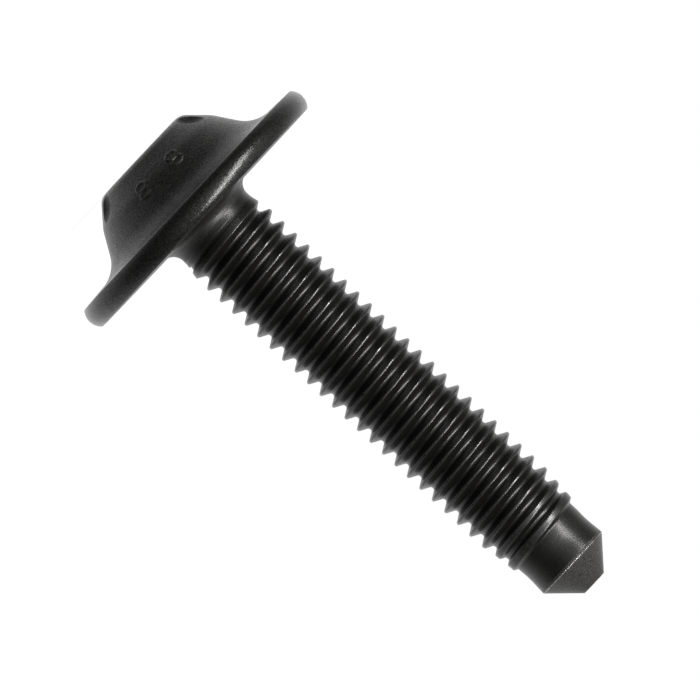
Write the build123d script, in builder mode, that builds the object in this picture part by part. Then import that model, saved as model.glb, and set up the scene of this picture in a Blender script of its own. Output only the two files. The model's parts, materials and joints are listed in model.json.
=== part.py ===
"""Flange bolt, M6 x 1, one cold-headed and thread-rolled piece.

The bolt stands on the flat top of its head. The origin is the centre of that
face, +Z runs along the shank to the point, and the head's two scallops lie
evenly about -Y. All sizes are in millimetres and degrees.
"""

import math
import os

from build123d import *

# Head: a dome on a round flange
head_height = 5.19
top_corner_diameter = 6.71
top_edge_radius = 0.95
cap_height = 1.38
cap_angle = 43.0
cap_blend_radius = 3.0
flank_angle = 31.6
foot_radius = 2.06
flange_diameter = 18.15
flange_edge_thickness = 1.41
flange_slope = 4.0
flange_crown_radius = 0.9
flange_crown_height = 0.75
flange_corner_radius = 0.3

# Scallops: two round-bottomed grooves in the dome's top edge
scallop_radius = 0.85
scallop_depth = 0.3
scallop_top_azimuth = 61.0
scallop_end_azimuth = 76.0
scallop_end_height = 1.25

# Six-lobed drive socket, number 30
socket_across_lobes = 5.6
socket_across_flutes = 3.99
socket_lobe_radius = 0.451
socket_depth = 2.6
socket_floor_angle = 30.0

# Shank and its plain neck
length = 31.2
underhead_radius = 0.8
neck_length = 1.15
neck_diameter = 5.46

# Thread, at its crests, with a taper and a last bevel at its ends
thread_diameter = 5.97
run_in_length = 1.2
run_out_length = 2.4
run_out_diameter = 5.46
last_crest_bevel = 0.3

# Dog point with a coned end
point_length = 3.8
point_diameter = 4.88
cone_length = 1.74
cone_angle = 42.6
tip_edge_radius = 0.12


def polar(radius, azimuth, height):
    """The point at this azimuth, counted from -Y towards +X."""
    turn = math.radians(azimuth)
    return Vector(radius * math.sin(turn), -radius * math.cos(turn), height)


def cap_radius(height):
    """The radius of the dome's upper cone at this height."""
    return top_corner_diameter / 2 + height * math.tan(math.radians(cap_angle))


# Heights up the bolt
tip_z = head_height + length
neck_end_z = head_height + neck_length
point_start_z = tip_z - point_length
last_crest_z = point_start_z - last_crest_bevel
cone_start_z = tip_z - cone_length

# Radii
neck_radius = neck_diameter / 2
crest_radius = thread_diameter / 2
point_radius = point_diameter / 2
tip_radius = point_radius - cone_length * math.tan(math.radians(cone_angle))

# The flange's rounded rim meets its sloping top and its flat underside
crown_centre_radius = flange_diameter / 2 - flange_crown_radius
crown_z = head_height - flange_crown_height
flange_top_z = head_height - flange_edge_thickness
flange_top_radius = crown_centre_radius + math.sqrt(
    flange_crown_radius**2 - (crown_z - flange_top_z) ** 2
)
flange_base_radius = crown_centre_radius + math.sqrt(
    flange_crown_radius**2 - flange_crown_height**2
)

# The socket's flutes are arcs that run into the lobes tangentially
lobe_centre_radius = socket_across_lobes / 2 - socket_lobe_radius
flute_reach = socket_across_flutes / 2
flute_cos = math.cos(math.radians(30))
flute_radius = (
    lobe_centre_radius**2
    + flute_reach**2
    - 2 * lobe_centre_radius * flute_reach * flute_cos
    - socket_lobe_radius**2
) / (2 * (socket_lobe_radius - flute_reach + lobe_centre_radius * flute_cos))
flute_centre_radius = flute_reach + flute_radius
lobe_half_arc = math.degrees(
    math.atan2(
        flute_centre_radius / 2,
        flute_centre_radius * flute_cos - lobe_centre_radius,
    )
)
socket_floor_height = flute_reach * math.tan(math.radians(socket_floor_angle)) / 2

with BuildPart() as bolt:
    # Head, neck, shank and point, turned as one outline
    with BuildSketch(Plane.XZ) as outline:
        with BuildLine():
            top = Line((0, 0), (top_corner_diameter / 2, 0))
            cap = Line(top @ 1, (cap_radius(cap_height), cap_height))
            flange_top = PolarLine(
                (flange_top_radius, flange_top_z),
                flange_diameter,
                180 + flange_slope,
                mode=Mode.PRIVATE,
            )
            flank_direction = Vector(0, 1).rotate(Axis.Z, -flank_angle)
            flank = IntersectingLine(cap @ 1, flank_direction, flange_top)
            Line(flank @ 1, flange_top @ 0)
            crown = ThreePointArc(
                flange_top @ 0,
                (flange_diameter / 2, crown_z),
                (flange_base_radius, head_height),
            )
            Polyline(
                crown @ 1,
                (neck_radius, head_height),
                (neck_radius, neck_end_z),
                (crest_radius, neck_end_z + run_in_length),
                (crest_radius, last_crest_z - run_out_length),
                (run_out_diameter / 2, last_crest_z),
                (point_radius, point_start_z),
                (point_radius, cone_start_z),
                (tip_radius, tip_z),
                (0, tip_z),
                top @ 0,
            )
        make_face()
        for corner, radius in (
            (top @ 1, top_edge_radius),
            (cap @ 1, cap_blend_radius),
            (flank @ 1, foot_radius),
            (crown @ 0, flange_corner_radius),
            (crown @ 1, flange_corner_radius),
            (Vector(neck_radius, head_height), underhead_radius),
            (Vector(tip_radius, tip_z), tip_edge_radius),
        ):
            fillet(outline.vertices().sort_by_distance(corner)[0], radius)
    revolve(axis=Axis.Z)

    # Drive socket, with a coned floor
    with BuildSketch():
        with BuildLine():
            for step in range(6):
                turn = 60 * step
                CenterArc(
                    Vector(lobe_centre_radius, 0).rotate(Axis.Z, turn),
                    socket_lobe_radius,
                    turn - lobe_half_arc,
                    2 * lobe_half_arc,
                )
                CenterArc(
                    Vector(flute_centre_radius, 0).rotate(Axis.Z, turn + 30),
                    flute_radius,
                    turn + 180 + lobe_half_arc,
                    60 - 2 * lobe_half_arc,
                )
        make_face()
    extrude(amount=socket_depth, mode=Mode.SUBTRACT)
    with Locations((0, 0, socket_depth + socket_floor_height / 2)):
        Cone(
            flute_reach,
            flute_reach / 2,
            socket_floor_height,
            mode=Mode.SUBTRACT,
        )

    # Scallops, each cut by a rod laid along its floor
    for side in (-1, 1):
        start = polar(cap_radius(0) - scallop_depth, side * scallop_top_azimuth, 0)
        end = polar(
            cap_radius(scallop_end_height),
            side * scallop_end_azimuth,
            scallop_end_height,
        )
        along = (end - start).normalized()
        outward = polar(1, side * scallop_top_azimuth, 0)
        lift = (outward - along * outward.dot(along)).normalized()
        axis = Plane((start + end) / 2 + lift * scallop_radius, z_dir=along)
        with Locations(axis):
            Cylinder(scallop_radius, 2 * (end - start).length, mode=Mode.SUBTRACT)

bolt.part.label = "bolt"
os.makedirs("parts", exist_ok=True)
export_step(bolt.part, "parts/bolt.step")
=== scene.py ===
"""Flange bolt, M6 x 1, as made: cold headed, thread rolled and finished satin black.

The bolt stands on the flat top of its head, with +Z along the shank and its
strength numerals facing -Y. Its sizes are in millimetres and degrees until they
are put into the mesh, which is in metres, as the studio round it is.
"""

import json
import math

import bpy
from mathutils import Matrix, Vector


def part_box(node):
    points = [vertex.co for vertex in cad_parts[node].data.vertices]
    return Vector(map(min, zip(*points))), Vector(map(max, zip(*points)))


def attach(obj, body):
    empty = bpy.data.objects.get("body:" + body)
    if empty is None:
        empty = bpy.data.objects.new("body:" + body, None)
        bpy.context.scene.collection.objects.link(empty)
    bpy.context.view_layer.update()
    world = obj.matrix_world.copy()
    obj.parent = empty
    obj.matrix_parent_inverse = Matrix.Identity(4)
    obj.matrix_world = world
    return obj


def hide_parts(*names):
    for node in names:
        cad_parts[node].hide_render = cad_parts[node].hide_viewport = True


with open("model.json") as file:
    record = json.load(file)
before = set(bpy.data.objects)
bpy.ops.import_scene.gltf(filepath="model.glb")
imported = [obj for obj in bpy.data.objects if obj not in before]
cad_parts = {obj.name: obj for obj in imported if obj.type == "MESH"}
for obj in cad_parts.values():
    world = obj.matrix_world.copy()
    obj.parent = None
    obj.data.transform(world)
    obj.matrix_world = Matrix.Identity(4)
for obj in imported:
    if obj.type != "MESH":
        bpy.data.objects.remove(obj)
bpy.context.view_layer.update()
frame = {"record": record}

mm = 0.001

# ----------------------------------------------------------------------------
# Flange bolt, one piece of steel. The head is forged cold from wire, the thread
# is rolled between dies, and all of it gets a thin satin black finish. It screws
# into a tapped hole, and the underside of its flange bears on what it holds.
# ----------------------------------------------------------------------------
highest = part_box("bolt")[1]
mounts = {mount["name"]: mount for mount in frame["record"]["mounts"]}
tip_height = highest.z / mm
# The narrower way across, because the solid's facets don't reach the full circle
flange_radius = min(highest.x, highest.y) / mm
bearing_height = mounts["bearing_face"]["pos_m"][2] / mm
crest_radius = mounts["thread"]["dims"]["r_mm"]
point_radius = mounts["dog_point"]["dims"]["r_mm"]
socket_depth = mounts["drive_socket"]["dims"]["length_mm"]

# Head: a dome of two blended cones, from its flat top down to the flange
top_corner_radius = 3.355
top_edge_rounding = 0.95
cap_height = 1.38
cap_angle = 43.0
cap_rounding = 3.0
flank_angle = 31.6
foot_rounding = 2.06

# The flange's rim is a crown between two small corners
flange_edge_thickness = 1.44
flange_slope = 4.5
crown_rounding = 1.0
crown_depth = 0.74
rim_corner_rounding = 0.1
bearing_corner_rounding = 0.05

# The neck runs out of the underside in a fillet
neck_radius = 2.73
neck_rounding = 0.8

bolt_points = []
bolt_faces = []
bolt_wear = []


def place(azimuth, radius, height):
    """The point at this azimuth in degrees, counted from -Y towards +X."""
    turn = math.radians(azimuth)
    return Vector((radius * math.sin(turn), -radius * math.cos(turn), height))


def add_points(points, wear):
    """Adds points to the bolt, each with its wear, and returns their numbers."""
    first = len(bolt_points)
    bolt_points.extend(points)
    bolt_wear.extend(wear)
    return list(range(first, len(bolt_points)))


def add_ring(azimuths, point, wear=0.0):
    """Adds the ring that this point of an outline makes, turned about the axis."""
    ring = [place(azimuth, point[0], point[1]) for azimuth in azimuths]
    return add_points(ring, [wear] * len(ring))


def span_rings(lower, upper, lower_azimuths=None, upper_azimuths=None):
    """Closes the wall between two rings, whose points may differ in number."""
    count = len(lower)
    if lower_azimuths is None:
        for i in range(count):
            j = (i + 1) % count
            bolt_faces.append((lower[i], lower[j], upper[j], upper[i]))
        return
    lower_ends = list(lower_azimuths) + [lower_azimuths[0] + 360]
    upper_ends = list(upper_azimuths) + [upper_azimuths[0] + 360]
    i = j = 0
    while i < len(lower) or j < len(upper):
        start = (lower[i % len(lower)], upper[j % len(upper)])
        if j == len(upper) or (i < len(lower) and lower_ends[i + 1] <= upper_ends[j + 1]):
            i += 1
            bolt_faces.append((start[0], lower[i % len(lower)], start[1]))
        else:
            j += 1
            bolt_faces.append((start[0], upper[j % len(upper)], start[1]))


def steps(start, end, spacing):
    """Evenly spaced values from start up to, but without, end."""
    count = max(1, round(abs(end - start) / spacing))
    return [start + (end - start) * i / count for i in range(count)]


def straight(start, end, spacing):
    """The points of a straight stretch of an outline, without its two ends."""
    count = max(1, round((end - start).length / spacing))
    return [start.lerp(end, i / count) for i in range(1, count)]


def arc(centre, radius, start, end, spacing):
    """The points of an arc in an outline, between two angles from straight out."""
    count = max(2, math.ceil(radius * math.radians(abs(end - start)) / spacing))
    points = []
    for i in range(count + 1):
        angle = math.radians(start + (end - start) * i / count)
        points.append(centre + Vector((math.cos(angle), math.sin(angle))) * radius)
    return points


def rounded_corner(before, corner, after, rounding, spacing):
    """The points of the arc that rounds this corner of an outline."""
    back = (before - corner).normalized()
    ahead = (after - corner).normalized()
    half = back.angle(ahead) / 2
    centre = corner + (back + ahead).normalized() * (rounding / math.sin(half))
    start = corner + back * (rounding / math.tan(half)) - centre
    end = corner + ahead * (rounding / math.tan(half)) - centre
    turn = math.pi - 2 * half
    count = max(2, math.ceil(rounding * turn / spacing))
    points = []
    for i in range(count + 1):
        share = i / count
        weight = math.sin((1 - share) * turn), math.sin(share * turn)
        points.append(centre + (start * weight[0] + end * weight[1]) / math.sin(turn))
    return points


# Outline points are (radius, height)
cap_slope = math.tan(math.radians(cap_angle))
flank_slope = math.tan(math.radians(flank_angle))
flange_fall = math.tan(math.radians(flange_slope))
top_corner = Vector((top_corner_radius, 0))
cap_corner = Vector((top_corner_radius + cap_height * cap_slope, cap_height))
crown_centre = Vector((flange_radius - crown_rounding, bearing_height - crown_depth))
flange_top = bearing_height - flange_edge_thickness
rim_edge = crown_centre.x + math.sqrt(crown_rounding**2 - (crown_centre.y - flange_top) ** 2)
foot_radius = (
    cap_corner.x + (flange_top - cap_height - rim_edge * flange_fall) * flank_slope
) / (1 - flange_fall * flank_slope)
foot_corner = Vector((foot_radius, flange_top - (rim_edge - foot_radius) * flange_fall))


def crown_corner(height, rounding):
    """Centre of a corner arc inside the crown, and the angle at which they touch."""
    reach = crown_rounding - rounding
    rise = height - crown_centre.y
    run = math.sqrt(reach**2 - rise**2)
    return crown_centre + Vector((run, rise)), math.degrees(math.atan2(rise, run))


upper_centre, upper_angle = crown_corner(flange_top + rim_corner_rounding, rim_corner_rounding)
lower_centre, lower_angle = crown_corner(
    bearing_height - bearing_corner_rounding, bearing_corner_rounding
)

# The dome's points are close together down to where its marks end
marks_end_height = 2.15
mark_spacing = 0.045
mark_arc_spacing = 0.042
plain_spacing = 0.12

dome = rounded_corner(
    Vector((0, 0)), top_corner, cap_corner, top_edge_rounding, mark_arc_spacing
)
cap_arc = rounded_corner(top_corner, cap_corner, foot_corner, cap_rounding, mark_arc_spacing)
dome += straight(dome[-1], cap_arc[0], mark_spacing) + cap_arc
foot_arc = rounded_corner(cap_corner, foot_corner, upper_centre, foot_rounding, plain_spacing)
flank = straight(dome[-1], foot_arc[0], mark_spacing)
dome += [point for point in flank if point.y < marks_end_height]

upper_corner_arc = arc(
    upper_centre, rim_corner_rounding, -90 - flange_slope, upper_angle, spacing=0.03
)
lower_head = straight(dome[-1], foot_arc[0], plain_spacing) + foot_arc
lower_head += straight(foot_arc[-1], upper_corner_arc[0], spacing=0.3)
rim_start = len(lower_head) + 1
lower_head += upper_corner_arc[:-1]
lower_head += arc(crown_centre, crown_rounding, upper_angle, lower_angle, spacing=0.07)[:-1]
lower_head += arc(lower_centre, bearing_corner_rounding, lower_angle, 90, spacing=0.04)

# Scallops, each the shape of a barrel laid along the dome's top edge
scallop_radius = 1.0
scallop_narrowing = 0.35
scallop_depth = 0.3
scallop_top_azimuth = 63.0
scallop_end_azimuth = 78.0
scallop_end_height = 1.22

scallops = []
for side in (-1, 1):
    top = place(side * scallop_top_azimuth, top_corner_radius - scallop_depth, 0)
    end_radius = top_corner_radius + scallop_end_height * cap_slope
    end = place(side * scallop_end_azimuth, end_radius, scallop_end_height)
    along = (end - top).normalized()
    outward = place(side * scallop_top_azimuth, 1, 0)
    lift = (outward - along * outward.dot(along)).normalized()
    scallops.append(((top + end) / 2 + lift * scallop_radius, along))


def scallop_cut(point, normal):
    """How deep the scallops reach below this point of the dome."""
    deepest = 0.0
    for centre, along in scallops:
        offset = point - centre
        station = offset.dot(along)
        offset -= along * station
        across = normal - along * normal.dot(along)
        radius = max(0.0, scallop_radius - scallop_narrowing * station**2)
        gap = radius**2 - offset.length_squared
        if gap > 0:
            reach = offset.dot(across)
            size = across.length_squared
            deepest = max(deepest, (reach + math.sqrt(reach**2 + size * gap)) / size)
    return deepest


# Numerals: two plain eights with a low bar between them, raised a little
numeral_azimuth = 16.0
numeral_height = 1.52
numeral_rise = 0.07
numeral_stroke = 0.125
loop_radius = 0.27
loop_spacing = 0.27
loop_width_over_height = 1.35
bar_height = 0.98
bar_half_width = 0.55
bar_rise = 0.01


def ramp(value, start, end):
    """0 before start, 1 after end, and a smooth rise between them."""
    share = min(1.0, max(0.0, (value - start) / (end - start)))
    return share * share * (3 - 2 * share)


def numeral_lift(azimuth, point):
    """How far the numerals stand up at this point of the dome."""
    across = math.radians(abs(azimuth) - numeral_azimuth) * point.x / loop_width_over_height
    along = (point.y - numeral_height) / math.cos(math.radians(cap_angle))
    nearest = min(
        abs(math.hypot(across, along - end * loop_spacing) - loop_radius) for end in (-1, 1)
    )
    loops = ramp(numeral_stroke - nearest, 0, numeral_stroke)
    beyond = max(0.0, abs(math.radians(azimuth)) * point.x - bar_half_width)
    nearest = math.hypot(beyond, point.y - bar_height)
    bar = ramp(numeral_stroke - nearest, 0, numeral_stroke)
    return max(numeral_rise * loops, bar_rise * bar)


# Azimuths of the points round the bolt, close together at the dome's scallops and
# numerals, where each stretch has its own spacing
dome_azimuths = []
for start, end, spacing in (
    (-180, -84, 2.4),
    (-84, -47, 0.45),
    (-47, -26, 1.2),
    (-26, -7, 0.32),
    (-7, 7, 1.0),
    (7, 26, 0.32),
    (26, 47, 1.2),
    (47, 84, 0.45),
    (84, 180, 2.4),
):
    dome_azimuths += steps(start, end, spacing)
head_azimuths = steps(-180, 180, 360 / 192)
shank_azimuths = steps(-180, 180, 360 / 96)

# Drive socket: lobes and flutes are arcs that run into each other
lobe_reach = 2.8
flute_reach = 1.995
lobe_rounding = 0.451
lobe_centre = lobe_reach - lobe_rounding
flute_cos = math.cos(math.radians(30))
flute_rounding = (
    lobe_centre**2 + flute_reach**2 - 2 * lobe_centre * flute_reach * flute_cos - lobe_rounding**2
) / (2 * (lobe_rounding - flute_reach + lobe_centre * flute_cos))
flute_centre = flute_reach + flute_rounding
lobe_half_arc = math.degrees(
    math.atan2(flute_centre / 2, flute_centre * flute_cos - lobe_centre)
)
points_per_arc = 9
wall_steps = 4
mouth_rounding = 0.1
floor_angle = 30.0
apex_radius = 0.15
floor_edge_gap = 0.01


def socket_outline(growth):
    """The socket's six-lobed section, made wider all round by growth."""
    outline = []
    for step in range(6):
        heading = 60 * step - 180
        lobe = place(heading, lobe_centre, 0)
        for i in range(points_per_arc):
            turn = lobe_half_arc * (2 * i / points_per_arc - 1)
            outline.append(lobe + place(heading + turn, lobe_rounding + growth, 0))
        flute = place(heading + 30, flute_centre, 0)
        for i in range(points_per_arc):
            turn = (lobe_half_arc - 30) * (2 * i / points_per_arc - 1)
            outline.append(flute - place(heading + 30 - turn, flute_rounding - growth, 0))
    return outline


section_azimuths = [math.degrees(math.atan2(point.x, -point.y)) for point in socket_outline(0)]
back_index = section_azimuths.index(min(section_azimuths))
section_azimuths = section_azimuths[back_index:] + section_azimuths[:back_index]


def add_socket_ring(growth, height):
    """Adds one ring of the socket's wall, starting at the back as all rings do."""
    outline = socket_outline(growth)
    outline = outline[back_index:] + outline[:back_index]
    return add_points([Vector((point.x, point.y, height)) for point in outline], [0.0] * len(outline))


# The head is built from the socket's floor, out over the dome, to the underside
apex_height = socket_depth + (flute_reach - apex_radius) * math.tan(math.radians(floor_angle))
before = add_ring(shank_azimuths, (apex_radius, apex_height))
bolt_faces.append(tuple(reversed(before)))
ring = add_ring(shank_azimuths, (flute_reach - floor_edge_gap, socket_depth))
span_rings(before, ring)
before = ring
ring = add_socket_ring(0, socket_depth)
span_rings(before, ring, shank_azimuths, section_azimuths)
before = ring
for i in range(1, wall_steps + 1):
    ring = add_socket_ring(0, socket_depth + (mouth_rounding - socket_depth) * i / wall_steps)
    span_rings(before, ring)
    before = ring
for i in range(1, wall_steps + 1):
    turn = math.radians(90 * i / wall_steps)
    growth = mouth_rounding * (1 - math.cos(turn))
    ring = add_socket_ring(growth, mouth_rounding * (1 - math.sin(turn)))
    span_rings(before, ring)
    before = ring

for index, point in enumerate(dome):
    previous = dome[max(index - 1, 0)]
    following = dome[min(index + 1, len(dome) - 1)]
    tangent = (following - previous).normalized()
    marked = []
    for azimuth in dome_azimuths:
        normal = place(azimuth, tangent.y, -tangent.x)
        spot = place(azimuth, point.x, point.y)
        marked.append(spot + normal * (numeral_lift(azimuth, point) - scallop_cut(spot, normal)))
    ring = add_points(marked, [0.0] * len(marked))
    if index == 0:
        span_rings(before, ring, section_azimuths, dome_azimuths)
    else:
        span_rings(before, ring)
    before = ring

for index, point in enumerate(lower_head):
    if index == rim_start:
        dome_faces = len(bolt_faces)
    ring = add_ring(head_azimuths, point)
    if index == 0:
        span_rings(before, ring, dome_azimuths, head_azimuths)
    else:
        span_rings(before, ring)
    before = ring
head_faces = len(bolt_faces)

# Thread: right handed, with 60 degree flanks and rounded roots. Its groove starts
# shallow on the neck, pushes the crests up beside it, and dies out at the point.
pitch = 1.0
root_radius = 2.42
root_half_width = 0.1115
root_rounding = 0.15
crest_rounding = 0.06
last_crest_rounding = 0.2
narrowest_groove = 0.12
full_depth = crest_radius - root_radius
flank_run = math.tan(math.radians(30))

# Turns are counted up the shank from where the groove starts, on the -X side
groove_start_azimuth = -90.0
groove_start_height = 6.21
groove_start_curve = 1.6
crests_rise_from = 6.1
crests_full_at = 7.6
crests_fall_from = 29.7
crests_fall_to = 31.6
crest_fall = 0.225
last_crest_fall = 0.06
last_crest_width = 0.7
last_crest_turn = 26.0
crest_end_turn = 26.42
last_groove_turn = 24.5
groove_end_turn = 26.2

# A crest is rubbed on the top of its rounding, where the groove is deep enough
worn_top = 0.94
worn_depth_from = 0.1
worn_depth_full = 0.3
last_crest_wear = 0.4

# Above the middle of the shank, what has no thread is the point: a pilot with a
# slight waist below its shoulder
shank_middle = 20.0
waist_radius = 2.41
waist_start = 32.6
waist_height = 33.4
shoulder_radius = 2.475
shoulder_height = 34.65


def bare_radius(height):
    """The radius of the neck or the point, as if there were no thread."""
    if height < shank_middle:
        drop = min(neck_rounding, max(0.0, bearing_height + neck_rounding - height))
        return neck_radius + neck_rounding - math.sqrt(neck_rounding**2 - drop**2)
    waist = point_radius + (waist_radius - point_radius) * ramp(height, waist_start, waist_height)
    return waist + (shoulder_radius - waist_radius) * ramp(height, waist_height, shoulder_height)


def crest_reach(height, crest_turn):
    """The radius of the crests, which the rolling raised from the neck's radius."""
    bare = bare_radius(height)
    if height < shank_middle:
        return bare + (crest_radius - neck_radius) * ramp(height, crests_rise_from, crests_full_at)
    crest = crest_radius - crest_fall * ramp(height, crests_fall_from, crests_fall_to)
    crest -= last_crest_fall * ramp(height, crests_fall_to, crests_fall_to + last_crest_width)
    return crest + (bare - crest) * ramp(crest_turn, last_crest_turn, crest_end_turn)


def groove_side(depth, rounding):
    """(offset from the groove's middle, share of its depth that is filled)."""
    size = max(depth / full_depth, narrowest_groove)
    rise = size * full_depth
    root = root_rounding * size
    tip = rounding * size
    root_middle = root_half_width - root * flank_run
    tip_middle = root_half_width + (rise + tip) * flank_run
    rows = [(root_middle, 0.0)]
    for angle in (30, 60):
        turn = math.radians(angle)
        rows.append((root_middle + root * math.sin(turn), root * (1 - math.cos(turn)) / rise))
    for angle in (60, 30, 0):
        turn = math.radians(angle)
        rows.append((tip_middle - tip * math.sin(turn), 1 - tip * (1 - math.cos(turn)) / rise))
    for share in (0.4, 0.75, 1.0):
        rows.append((tip_middle + (pitch / 2 - tip_middle) * share, 1.0))
    return rows


def thread_rows(turn):
    """(height, radius, wear) of the rows from the middle of one crest to the next."""
    middle = groove_start_height + pitch * turn
    if middle > shank_middle:
        closing = ramp(turn, last_groove_turn, groove_end_turn)
        floor = root_radius + (bare_radius(middle) - root_radius) * closing
    else:
        full = crest_reach(middle, turn)
        floor = full + (root_radius - full) * min(1.0, max(0.0, turn)) ** groove_start_curve
    unfilled = ramp(middle, crests_fall_from, crests_fall_to)
    rounding = crest_rounding + (last_crest_rounding - crest_rounding) * unfilled
    exposed = 1 + (last_crest_wear - 1) * unfilled
    sides = []
    for side in (-1, 1):
        crest_turn = turn + side / 2
        depth = max(0.0, crest_reach(middle, crest_turn) - floor)
        rubbed_depth = ramp(depth, worn_depth_from, worn_depth_full)
        rows = []
        for offset, filled in groove_side(depth, rounding):
            height = middle + side * offset
            radius = crest_reach(height, crest_turn) - (1 - filled) * depth
            rows.append((height, radius, ramp(filled, worn_top, 1) * rubbed_depth * exposed))
        sides.append(rows)
    below, above = sides
    return below[::-1] + [(middle, floor, 0.0)] + above[:-1]


# The thread's wall is a ribbon that climbs the shank with the groove. Its first
# turn widens from nothing and its last one closes, so both ends are flat rings.
ribbon_turns = 30
columns = len(shank_azimuths)
first_turn = -1.25
ribbon_start = groove_start_height + pitch * (first_turn + 1 / 2)
ribbon_end = ribbon_start + pitch * (ribbon_turns - 1)
closing_start = (ribbon_turns - 1) * columns
row_count = len(thread_rows(0))

# The bearing face and the fillet, up to where the ribbon starts
bearing_ring_radius = 4.3
fillet_centre = Vector((neck_radius + neck_rounding, bearing_height + neck_rounding))
fillet_turn = math.degrees(math.acos((fillet_centre.y - ribbon_start) / neck_rounding))
neck = [Vector((bearing_ring_radius, bearing_height))]
neck += arc(fillet_centre, neck_rounding, -90, -90 - fillet_turn, spacing=0.06)[:-1]
for index, point in enumerate(neck):
    ring = add_ring(shank_azimuths, point)
    if index == 0:
        span_rings(before, ring, head_azimuths, shank_azimuths)
    else:
        span_rings(before, ring)
    before = ring

ribbon = {}
for step in range(1, ribbon_turns * columns):
    turn = first_turn + step / columns
    azimuth = groove_start_azimuth + 360 * turn
    low = groove_start_height + pitch * (turn - 1 / 2)
    points = []
    wear = []
    for height, radius, crest_wear in thread_rows(turn):
        if step < columns:
            height = ribbon_start + (height - low) * step / columns
            radius = crest_reach(height, turn)
        elif step > closing_start:
            height = low + (height - low) * (ribbon_end - low) / pitch
            radius = bare_radius(height)
        points.append(place(azimuth, radius, height))
        wear.append(crest_wear)
    ribbon[step] = add_points(points, wear)

closing_ring = add_ring(shank_azimuths, (bare_radius(ribbon_end), ribbon_end))


def ribbon_point(step, row):
    """The number of the ribbon's point at this step round the shank."""
    if row == row_count:
        step, row = step + columns, 0
    if step == 0:
        step, row = columns, 0
    if step >= ribbon_turns * columns:
        return closing_ring[step % columns]
    return ribbon[step][row]


for step in range(ribbon_turns * columns):
    if step == round(-first_turn * columns):
        neck_faces = len(bolt_faces)
    for row in range(row_count):
        corners = [
            ribbon_point(step, row),
            ribbon_point(step + 1, row),
            ribbon_point(step + 1, row + 1),
            ribbon_point(step, row + 1),
        ]
        bolt_faces.append(tuple(dict.fromkeys(corners)))
span_rings(before, [ribbon_point(step, 0) for step in range(columns)])
thread_faces = len(bolt_faces)

# Dog point: a plain pilot, a crisp shoulder, a cone and a small flat end
tip_radius = 0.81
tip_rounding = 0.12
shoulder_rounding = 0.1
worn_edge_from = 0.01
worn_edge_to = 0.045
shoulder = Vector((shoulder_radius, shoulder_height))
tip_corner = Vector((tip_radius, tip_height))
pilot_end = Vector((bare_radius(ribbon_end), ribbon_end))
point_outline = rounded_corner(pilot_end, shoulder, tip_corner, shoulder_rounding, spacing=0.015)
tip_arc = rounded_corner(shoulder, tip_corner, Vector((0, tip_height)), tip_rounding, spacing=0.03)
point_outline += straight(point_outline[-1], tip_arc[0], spacing=0.2) + tip_arc
before = closing_ring
for point in point_outline:
    edge_distance = min((point - shoulder).length, (point - tip_corner).length)
    ring = add_ring(shank_azimuths, point, 1 - ramp(edge_distance, worn_edge_from, worn_edge_to))
    span_rings(before, ring)
    before = ring
bolt_faces.append(tuple(before))

bolt_mesh = bpy.data.meshes.new("bolt")
bolt_mesh.from_pydata([point * mm for point in bolt_points], [], bolt_faces)
bolt_mesh.shade_smooth()
wear = bolt_mesh.attributes.new("wear", "FLOAT", "POINT")
wear.data.foreach_set("value", bolt_wear)
bolt = bpy.data.objects.new("flange_bolt", bolt_mesh)
scene = bpy.context.scene
scene.collection.objects.link(bolt)


def node_group(name, inputs, outputs):
    """A new shader node group with float sockets, and its input and output nodes."""
    group = bpy.data.node_groups.new(name, "ShaderNodeTree")
    for socket, value in inputs.items():
        added = group.interface.new_socket(socket, in_out="INPUT", socket_type="NodeSocketFloat")
        added.default_value = value
    for socket in outputs:
        group.interface.new_socket(socket, in_out="OUTPUT", socket_type="NodeSocketFloat")
    return group, group.nodes.new("NodeGroupInput"), group.nodes.new("NodeGroupOutput")


def feed(tree, socket, value):
    """Links this value to the socket, or sets it there if it is plain numbers."""
    if isinstance(value, bpy.types.NodeSocket):
        tree.links.new(value, socket)
    elif value is not None:
        socket.default_value = value


def math_node(tree, operation, first, second, third=None):
    """The result of a maths node in this tree, fed with numbers or sockets."""
    node = tree.nodes.new("ShaderNodeMath")
    node.operation = operation
    for socket, value in zip(node.inputs, (first, second, third)):
        feed(tree, socket, value)
    return node.outputs[0]


def vector_node(tree, operation, first, second=None, scale=None):
    """The outputs of a vector maths node in this tree, fed in the same way."""
    node = tree.nodes.new("ShaderNodeVectorMath")
    node.operation = operation
    feed(tree, node.inputs[0], first)
    feed(tree, node.inputs[1], second)
    if scale is not None:
        feed(tree, node.inputs["Scale"], scale)
    return node.outputs


def noise_node(tree, position, scale, detail, roughness=0.5):
    """The value of a noise node in this tree, with scale as its cells per unit."""
    node = tree.nodes.new("ShaderNodeTexNoise")
    node.inputs["Detail"].default_value = detail
    node.inputs["Roughness"].default_value = roughness
    feed(tree, node.inputs["Vector"], position)
    feed(tree, node.inputs["Scale"], scale)
    return node.outputs["Fac"]


# Grain: fine pits all over, and their broader mottling
patches_per_pit = 0.12
grain, given, made = node_group("steel_grain", {"Grain per metre": 11000.0}, ["Grain", "Mottling"])
spot = grain.nodes.new("ShaderNodeTexCoord").outputs["Object"]
pits_per_metre = given.outputs["Grain per metre"]
patches_per_metre = math_node(grain, "MULTIPLY", pits_per_metre, patches_per_pit)
fine = noise_node(grain, spot, pits_per_metre, detail=3.0, roughness=0.6)
broad = noise_node(grain, spot, patches_per_metre, detail=2.0)
grain.links.new(fine, made.inputs["Grain"])
grain.links.new(broad, made.inputs["Mottling"])

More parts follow.
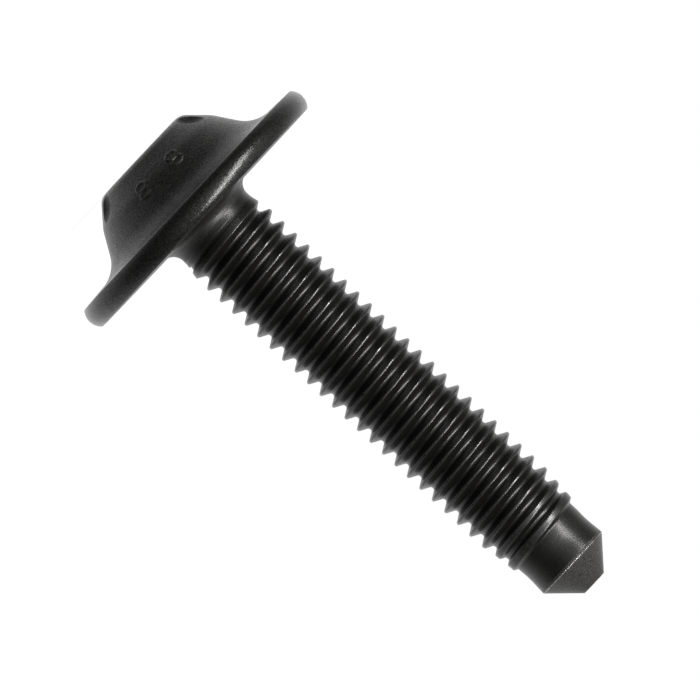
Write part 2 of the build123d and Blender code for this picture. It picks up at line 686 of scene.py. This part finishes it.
# Lines that run round the bolt, left by the dies: noise that changes fast with
# height and with distance from the axis, and slowly round the bolt
distance_share = 0.7
lines, given, made = node_group("round_lines", {"Lines per metre": 16000.0, "Breaks": 3.0}, ["Lines"])
spot = lines.nodes.new("ShaderNodeTexCoord").outputs["Object"]
flat = vector_node(lines, "MULTIPLY", spot, (1, 1, 0))["Vector"]
distance = vector_node(lines, "LENGTH", flat)["Value"]
heading = vector_node(lines, "NORMALIZE", flat)["Vector"]
spread = vector_node(lines, "SCALE", heading, scale=given.outputs["Breaks"])["Vector"]
axes = lines.nodes.new("ShaderNodeSeparateXYZ")
lines.links.new(spot, axes.inputs[0])
parts = lines.nodes.new("ShaderNodeSeparateXYZ")
lines.links.new(spread, parts.inputs[0])
along_outline = math_node(lines, "MULTIPLY_ADD", distance, distance_share, axes.outputs["Z"])
drawn = lines.nodes.new("ShaderNodeCombineXYZ")
lines.links.new(parts.outputs["X"], drawn.inputs["X"])
lines.links.new(parts.outputs["Y"], drawn.inputs["Y"])
lines_passed = math_node(lines, "MULTIPLY", along_outline, given.outputs["Lines per metre"])
lines.links.new(lines_passed, drawn.inputs["Z"])
lines.links.new(noise_node(lines, drawn.outputs[0], scale=1.0, detail=2.0), made.inputs["Lines"])

# Wear: where an edge has rubbed through to bare steel, in patches with crisp borders
crispness = 4.0
rubbed, given, made = node_group("rubbed_edges", {"Spots per metre": 3400.0, "Share": 0.55}, ["Bare"])
spot = rubbed.nodes.new("ShaderNodeTexCoord").outputs["Object"]
spots = noise_node(rubbed, spot, given.outputs["Spots per metre"], detail=4.0, roughness=0.7)
edge = rubbed.nodes.new("ShaderNodeAttribute")
edge.attribute_name = "wear"
threshold = math_node(rubbed, "SUBTRACT", given.outputs["Share"], 1.0)
cover = math_node(rubbed, "MULTIPLY", math_node(rubbed, "ADD", spots, threshold), crispness)
cover.node.use_clamp = True
rubbed.links.new(math_node(rubbed, "MULTIPLY", cover, edge.outputs["Fac"]), made.inputs["Bare"])

black = (0.0046, 0.0043, 0.0040)
film_gloss = 0.9
grain_in_roughness = 0.3
mottling_in_roughness = 0.16
rubbing_polish = 0.65


def black_steel(name, tone, roughness, pits, pores, streaks=0.0, worn=0.5, bare_steel=0.1):
    """Steel under a thin black film, which is duller where the grain opens it.

    tone lightens the black and pores is how much the grain dulls it. pits and
    streaks are heights in metres. worn is how much of a rubbed edge is bare.
    """
    material = bpy.data.materials.new(name)
    material.use_nodes = True
    tree = material.node_tree
    shader = tree.nodes["Principled BSDF"]

    def add_group(group):
        node = tree.nodes.new("ShaderNodeGroup")
        node.node_tree = group
        return node

    steel_grain = add_group(grain)
    pitting = steel_grain.outputs["Grain"]
    mottling = steel_grain.outputs["Mottling"]
    die_lines = add_group(lines).outputs["Lines"]
    rubbing = add_group(rubbed)
    rubbing.inputs["Share"].default_value = worn
    bare = rubbing.outputs["Bare"]

    colour = tree.nodes.new("ShaderNodeMix")
    colour.data_type = "RGBA"
    colour.inputs["A"].default_value = [channel * tone for channel in black] + [1]
    colour.inputs["B"].default_value = (bare_steel, bare_steel, bare_steel, 1)
    tree.links.new(bare, colour.inputs["Factor"])
    tree.links.new(colour.outputs["Result"], shader.inputs["Base Color"])

    opened = math_node(tree, "MULTIPLY_ADD", pitting, -pores, 0.5 + pores / 2)
    opened.node.use_clamp = True
    tree.links.new(math_node(tree, "MAXIMUM", opened, bare), shader.inputs["Metallic"])
    shader.inputs["Specular IOR Level"].default_value = film_gloss

    smoothest = roughness - grain_in_roughness / 2
    uneven = math_node(tree, "MULTIPLY_ADD", pitting, grain_in_roughness, smoothest)
    patchy = math_node(
        tree, "MULTIPLY_ADD", mottling, mottling_in_roughness, -mottling_in_roughness / 2
    )
    rough = math_node(tree, "ADD", uneven, patchy)
    unpolished = math_node(tree, "MULTIPLY_ADD", bare, -rubbing_polish, 1.0)
    tree.links.new(math_node(tree, "MULTIPLY", rough, unpolished), shader.inputs["Roughness"])

    bump = tree.nodes.new("ShaderNodeBump")
    bump.inputs["Distance"].default_value = 1.0
    pitted = math_node(tree, "MULTIPLY", pitting, pits)
    relief = math_node(tree, "MULTIPLY_ADD", die_lines, streaks, pitted)
    tree.links.new(relief, bump.inputs["Height"])
    tree.links.new(bump.outputs["Normal"], shader.inputs["Normal"])
    return material


forged_dome = black_steel("forged_dome", tone=2.8, roughness=0.27, pits=38e-6, pores=1.8)
forged_rim = black_steel(
    "forged_rim", tone=2.4, roughness=0.21, pits=10e-6, pores=1.9, streaks=4e-6
)
rolled_neck = black_steel(
    "rolled_neck", tone=3.2, roughness=0.4, pits=6e-6, pores=0.7, streaks=20e-6
)
rolled_thread = black_steel(
    "rolled_thread",
    tone=2.6,
    roughness=0.31,
    pits=6e-6,
    pores=0.5,
    streaks=5e-6,
    worn=0.65,
    bare_steel=0.07,
)
turned_point = black_steel(
    "turned_point",
    tone=6.5,
    roughness=0.36,
    pits=50e-6,
    pores=1.8,
    streaks=5e-6,
    worn=0.62,
    bare_steel=0.6,
)

slots = []
for material, last_face in (
    (forged_dome, dome_faces),
    (forged_rim, head_faces),
    (rolled_neck, neck_faces),
    (rolled_thread, thread_faces),
    (turned_point, len(bolt_faces)),
):
    slots += [len(bolt_mesh.materials)] * (last_face - len(slots))
    bolt_mesh.materials.append(material)
bolt_mesh.polygons.foreach_set("material_index", slots)

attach(bolt, "root")
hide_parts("bolt")

# ----------------------------------------------------------------------------
# Floor: a wide sheet of matt grey paint that the head stands on. It glows nearly
# white towards the camera, and is left out of the reflections in the steel.
# ----------------------------------------------------------------------------
floor_reach = 40.0
floor_grey = 0.2
floor_white = 0.92

floor_mesh = bpy.data.meshes.new("floor")
floor_corners = [(-1, -1), (1, -1), (1, 1), (-1, 1)]
floor_mesh.from_pydata(
    [(x * floor_reach, y * floor_reach, 0) for x, y in floor_corners], [], [(0, 1, 2, 3)]
)
floor = bpy.data.objects.new("floor", floor_mesh)
scene.collection.objects.link(floor)
floor.visible_glossy = False

floor_paint = bpy.data.materials.new("floor_white")
floor_paint.use_nodes = True
tree = floor_paint.node_tree
tree.nodes.clear()
matt = tree.nodes.new("ShaderNodeBsdfDiffuse")
matt.inputs["Color"].default_value = (floor_grey, floor_grey, floor_grey, 1)
seen = tree.nodes.new("ShaderNodeLightPath").outputs["Is Camera Ray"]
lit = tree.nodes.new("ShaderNodeEmission")
tree.links.new(math_node(tree, "MULTIPLY", seen, floor_white), lit.inputs["Strength"])
total = tree.nodes.new("ShaderNodeAddShader")
tree.links.new(matt.outputs[0], total.inputs[0])
tree.links.new(lit.outputs[0], total.inputs[1])
output = tree.nodes.new("ShaderNodeOutputMaterial")
tree.links.new(total.outputs[0], output.inputs["Surface"])
floor_mesh.materials.append(floor_paint)

# ----------------------------------------------------------------------------
# Camera: level with the bolt and far off, square to the shank's axis, and rolled
# so that the shank runs down to the right.
# ----------------------------------------------------------------------------
aim = Vector((-0.152, 0, 16.66)) * mm
camera_distance = 1.6
view_width = 40.89 * mm
roll = math.radians(43.2)
right = Vector((-math.sin(roll), 0, math.cos(roll)))
up = Vector((-math.cos(roll), 0, -math.sin(roll)))
toward = Vector((0, -1, 0))


def standing_at(point, right, up, back):
    """The matrix of a camera or lamp that stands here and looks away from back."""
    return Matrix.Translation(point) @ Matrix((right, up, back)).transposed().to_4x4()


lens = bpy.data.cameras.new("camera")
lens.sensor_width = 36.0
lens.lens = lens.sensor_width * camera_distance / view_width
lens.clip_start = 0.01
camera = bpy.data.objects.new("camera", lens)
camera.matrix_world = standing_at(aim + toward * camera_distance, right, up, toward)
scene.collection.objects.link(camera)
scene.camera = camera
scene.view_settings.view_transform = "Standard"

# ----------------------------------------------------------------------------
# Light: a white surround that darkens towards the camera's side and glows softly
# round one tall soft lamp, which stands to the right of the camera.
# ----------------------------------------------------------------------------
# Brightest behind the bolt and a little to one side, and lifted above and below
brightest_side = (0.22, 1, 0)
lift_above_and_below = 0.2
darkest = 0.085
darkest_until = -0.3
brightest = 0.94
brightest_from = 0.9
glow_from = -0.1
glow_falloff = 4.0
glow_strength = 1.25
lamp_direction = (right * 0.67 + up * 0.16 + toward * 0.74).normalized()
lamp_distance = 1.0
lamp_power = 13.0

world = bpy.data.worlds.new("studio")
scene.world = world
world.use_nodes = True
tree = world.node_tree
tree.nodes.clear()
outlook = tree.nodes.new("ShaderNodeTexCoord").outputs["Generated"]


def range_node(tree, value, low, high, to_low=0.0, to_high=1.0, interpolation="LINEAR"):
    """The value's place between low and high, as one between to_low and to_high."""
    node = tree.nodes.new("ShaderNodeMapRange")
    node.interpolation_type = interpolation
    node.inputs["From Min"].default_value = low
    node.inputs["From Max"].default_value = high
    node.inputs["To Min"].default_value = to_low
    node.inputs["To Max"].default_value = to_high
    tree.links.new(value, node.inputs["Value"])
    return node.outputs[0]


axes = tree.nodes.new("ShaderNodeSeparateXYZ")
tree.links.new(outlook, axes.inputs[0])
steepness = math_node(tree, "MULTIPLY", axes.outputs["Z"], axes.outputs["Z"])
behind = vector_node(tree, "DOT_PRODUCT", outlook, brightest_side)["Value"]
lifted = math_node(tree, "MULTIPLY_ADD", steepness, lift_above_and_below, behind)
surround = range_node(
    tree, lifted, darkest_until, brightest_from, darkest, brightest, "SMOOTHSTEP"
)
near_lamp = vector_node(tree, "DOT_PRODUCT", outlook, lamp_direction)["Value"]
glow = math_node(tree, "POWER", range_node(tree, near_lamp, glow_from, 1.0), glow_falloff)
light = math_node(tree, "MULTIPLY_ADD", glow, glow_strength, surround)
choose = tree.nodes.new("ShaderNodeMix")
choose.data_type = "FLOAT"
seen = tree.nodes.new("ShaderNodeLightPath").outputs["Is Camera Ray"]
tree.links.new(seen, choose.inputs["Factor"])
tree.links.new(light, choose.inputs["A"])
choose.inputs["B"].default_value = 1.0
background = tree.nodes.new("ShaderNodeBackground")
background.inputs["Color"].default_value = (1, 1, 1, 1)
tree.links.new(choose.outputs[0], background.inputs["Strength"])
output = tree.nodes.new("ShaderNodeOutputWorld")
tree.links.new(background.outputs[0], output.inputs["Surface"])

lamp_light = bpy.data.lights.new("key", "AREA")
lamp_light.shape = "RECTANGLE"
lamp_light.size = 0.12
lamp_light.size_y = 1.2
lamp_light.energy = lamp_power
lamp = bpy.data.objects.new("key", lamp_light)
lamp_right = up.cross(lamp_direction).normalized()
lamp_up = lamp_direction.cross(lamp_right)
lamp.matrix_world = standing_at(
    aim + lamp_direction * lamp_distance, lamp_right, lamp_up, lamp_direction
)
scene.collection.objects.link(lamp)
